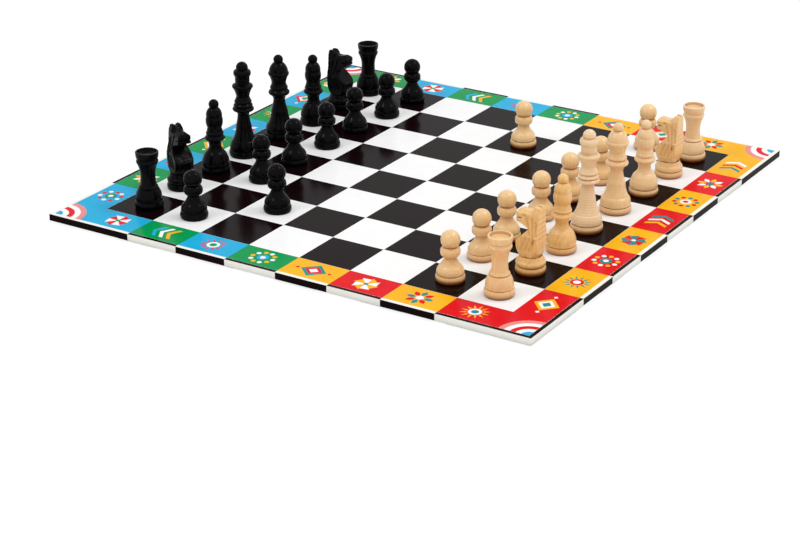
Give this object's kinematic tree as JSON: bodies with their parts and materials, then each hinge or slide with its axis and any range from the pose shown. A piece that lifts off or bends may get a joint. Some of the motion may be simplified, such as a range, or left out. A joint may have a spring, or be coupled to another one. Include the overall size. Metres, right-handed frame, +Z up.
{
  "type": "chess and draughts set",
  "caption": "Square two-sided game board with a chess field above and a draughts field below, set with turned wooden chessmen, each free to be lifted off.",
  "frame": {"origin": "centre of the board's underside, on the surface it lies on", "axes": "+Z up out of the chess face, +Y from the natural wood men towards the black men, +X to the right of the player of the natural wood men"},
  "size_m": [0.352, 0.352, 0.0711],
  "materials": {
    "natural_wood": "turned pale hardwood, clear satin lacquer",
    "black_wood": "turned hardwood, black satin lacquer",
    "greyboard": "dense grey pasteboard",
    "printed_paper": "coated white paper, gloss varnish",
    "binding_paper": "coated cream paper, gloss varnish",
    "black_ink": "printed black, gloss varnish",
    "red_ink": "printed red, gloss varnish",
    "amber_ink": "printed amber, gloss varnish",
    "green_ink": "printed green, gloss varnish",
    "blue_ink": "printed light blue, gloss varnish",
    "teal_ink": "printed teal, gloss varnish"
  },
  "bodies": {
    "board": {"binding_back": "binding_paper", "binding_black": "black_ink", "binding_front": "binding_paper", "binding_left": "binding_paper", "binding_right": "binding_paper", "board_core": "greyboard", "chess_black_squares": "black_ink", "chess_border_amber": "amber_ink", "chess_border_blue": "blue_ink", "chess_border_green": "green_ink", "chess_border_red": "red_ink", "chess_face_sheet": "printed_paper", "draughts_black_squares": "black_ink", "draughts_border_amber": "amber_ink", "draughts_border_red": "red_ink", "draughts_border_teal": "teal_ink", "draughts_face_sheet": "printed_paper"},
    "black_bishop_1": {"black_bishop_1": "black_wood"},
    "black_bishop_2": {"black_bishop_2": "black_wood"},
    "black_king": {"black_king": "black_wood"},
    "black_knight_1": {"black_knight_1_foot": "black_wood", "black_knight_1_head": "black_wood"},
    "black_knight_2": {"black_knight_2_foot": "black_wood", "black_knight_2_head": "black_wood"},
    "black_pawn_1": {"black_pawn_1": "black_wood"},
    "black_pawn_2": {"black_pawn_2": "black_wood"},
    "black_pawn_3": {"black_pawn_3": "black_wood"},
    "black_pawn_4": {"black_pawn_4": "black_wood"},
    "black_pawn_5": {"black_pawn_5": "black_wood"},
    "black_pawn_6": {"black_pawn_6": "black_wood"},
    "black_pawn_7": {"black_pawn_7": "black_wood"},
    "black_pawn_8": {"black_pawn_8": "black_wood"},
    "black_queen": {"black_queen": "black_wood"},
    "black_rook_1": {"black_rook_1": "black_wood"},
    "black_rook_2": {"black_rook_2": "black_wood"},
    "white_bishop_1": {"white_bishop_1": "natural_wood"},
    "white_bishop_2": {"white_bishop_2": "natural_wood"},
    "white_king": {"white_king": "natural_wood"},
    "white_knight_1": {"white_knight_1_foot": "natural_wood", "white_knight_1_head": "natural_wood"},
    "white_knight_2": {"white_knight_2_foot": "natural_wood", "white_knight_2_head": "natural_wood"},
    "white_pawn_1": {"white_pawn_1": "natural_wood"},
    "white_pawn_2": {"white_pawn_2": "natural_wood"},
    "white_pawn_3": {"white_pawn_3": "natural_wood"},
    "white_pawn_4": {"white_pawn_4": "natural_wood"},
    "white_pawn_5": {"white_pawn_5": "natural_wood"},
    "white_pawn_6": {"white_pawn_6": "natural_wood"},
    "white_pawn_7": {"white_pawn_7": "natural_wood"},
    "white_pawn_8": {"white_pawn_8": "natural_wood"},
    "white_queen": {"white_queen": "natural_wood"},
    "white_rook_1": {"white_rook_1": "natural_wood"},
    "white_rook_2": {"white_rook_2": "natural_wood"}
  },
  "joints": [
    {"name": "black_bishop_1_lift", "type": "slide", "parent": "board", "child": "black_bishop_1", "axis": [0, 0, 1], "range_m": [0, 0.08]},
    {"name": "black_bishop_2_lift", "type": "slide", "parent": "board", "child": "black_bishop_2", "axis": [0, 0, 1], "range_m": [0, 0.08]},
    {"name": "black_king_lift", "type": "slide", "parent": "board", "child": "black_king", "axis": [0, 0, 1], "range_m": [0, 0.08]},
    {"name": "black_knight_1_lift", "type": "slide", "parent": "board", "child": "black_knight_1", "axis": [0, 0, 1], "range_m": [0, 0.08]},
    {"name": "black_knight_2_lift", "type": "slide", "parent": "board", "child": "black_knight_2", "axis": [0, 0, 1], "range_m": [0, 0.08]},
    {"name": "black_pawn_1_lift", "type": "slide", "parent": "board", "child": "black_pawn_1", "axis": [0, 0, 1], "range_m": [0, 0.08]},
    {"name": "black_pawn_2_lift", "type": "slide", "parent": "board", "child": "black_pawn_2", "axis": [0, 0, 1], "range_m": [0, 0.08]},
    {"name": "black_pawn_3_lift", "type": "slide", "parent": "board", "child": "black_pawn_3", "axis": [0, 0, 1], "range_m": [0, 0.08]},
    {"name": "black_pawn_4_lift", "type": "slide", "parent": "board", "child": "black_pawn_4", "axis": [0, 0, 1], "range_m": [0, 0.08]},
    {"name": "black_pawn_5_lift", "type": "slide", "parent": "board", "child": "black_pawn_5", "axis": [0, 0, 1], "range_m": [0, 0.08]},
    {"name": "black_pawn_6_lift", "type": "slide", "parent": "board", "child": "black_pawn_6", "axis": [0, 0, 1], "range_m": [0, 0.08]},
    {"name": "black_pawn_7_lift", "type": "slide", "parent": "board", "child": "black_pawn_7", "axis": [0, 0, 1], "range_m": [0, 0.08]},
    {"name": "black_pawn_8_lift", "type": "slide", "parent": "board", "child": "black_pawn_8", "axis": [0, 0, 1], "range_m": [0, 0.08]},
    {"name": "black_queen_lift", "type": "slide", "parent": "board", "child": "black_queen", "axis": [0, 0, 1], "range_m": [0, 0.08]},
    {"name": "black_rook_1_lift", "type": "slide", "parent": "board", "child": "black_rook_1", "axis": [0, 0, 1], "range_m": [0, 0.08]},
    {"name": "black_rook_2_lift", "type": "slide", "parent": "board", "child": "black_rook_2", "axis": [0, 0, 1], "range_m": [0, 0.08]},
    {"name": "white_bishop_1_lift", "type": "slide", "parent": "board", "child": "white_bishop_1", "axis": [0, 0, 1], "range_m": [0, 0.08]},
    {"name": "white_bishop_2_lift", "type": "slide", "parent": "board", "child": "white_bishop_2", "axis": [0, 0, 1], "range_m": [0, 0.08]},
    {"name": "white_king_lift", "type": "slide", "parent": "board", "child": "white_king", "axis": [0, 0, 1], "range_m": [0, 0.08]},
    {"name": "white_knight_1_lift", "type": "slide", "parent": "board", "child": "white_knight_1", "axis": [0, 0, 1], "range_m": [0, 0.08]},
    {"name": "white_knight_2_lift", "type": "slide", "parent": "board", "child": "white_knight_2", "axis": [0, 0, 1], "range_m": [0, 0.08]},
    {"name": "white_pawn_1_lift", "type": "slide", "parent": "board", "child": "white_pawn_1", "axis": [0, 0, 1], "range_m": [0, 0.08]},
    {"name": "white_pawn_2_lift", "type": "slide", "parent": "board", "child": "white_pawn_2", "axis": [0, 0, 1], "range_m": [0, 0.08]},
    {"name": "white_pawn_3_lift", "type": "slide", "parent": "board", "child": "white_pawn_3", "axis": [0, 0, 1], "range_m": [0, 0.08]},
    {"name": "white_pawn_4_lift", "type": "slide", "parent": "board", "child": "white_pawn_4", "axis": [0, 0, 1], "range_m": [0, 0.08]},
    {"name": "white_pawn_5_lift", "type": "slide", "parent": "board", "child": "white_pawn_5", "axis": [0, 0, 1], "range_m": [0, 0.08]},
    {"name": "white_pawn_6_lift", "type": "slide", "parent": "board", "child": "white_pawn_6", "axis": [0, 0, 1], "range_m": [0, 0.08]},
    {"name": "white_pawn_7_lift", "type": "slide", "parent": "board", "child": "white_pawn_7", "axis": [0, 0, 1], "range_m": [0, 0.08]},
    {"name": "white_pawn_8_lift", "type": "slide", "parent": "board", "child": "white_pawn_8", "axis": [0, 0, 1], "range_m": [0, 0.08]},
    {"name": "white_queen_lift", "type": "slide", "parent": "board", "child": "white_queen", "axis": [0, 0, 1], "range_m": [0, 0.08]},
    {"name": "white_rook_1_lift", "type": "slide", "parent": "board", "child": "white_rook_1", "axis": [0, 0, 1], "range_m": [0, 0.08]},
    {"name": "white_rook_2_lift", "type": "slide", "parent": "board", "child": "white_rook_2", "axis": [0, 0, 1], "range_m": [0, 0.08]}
  ]
}
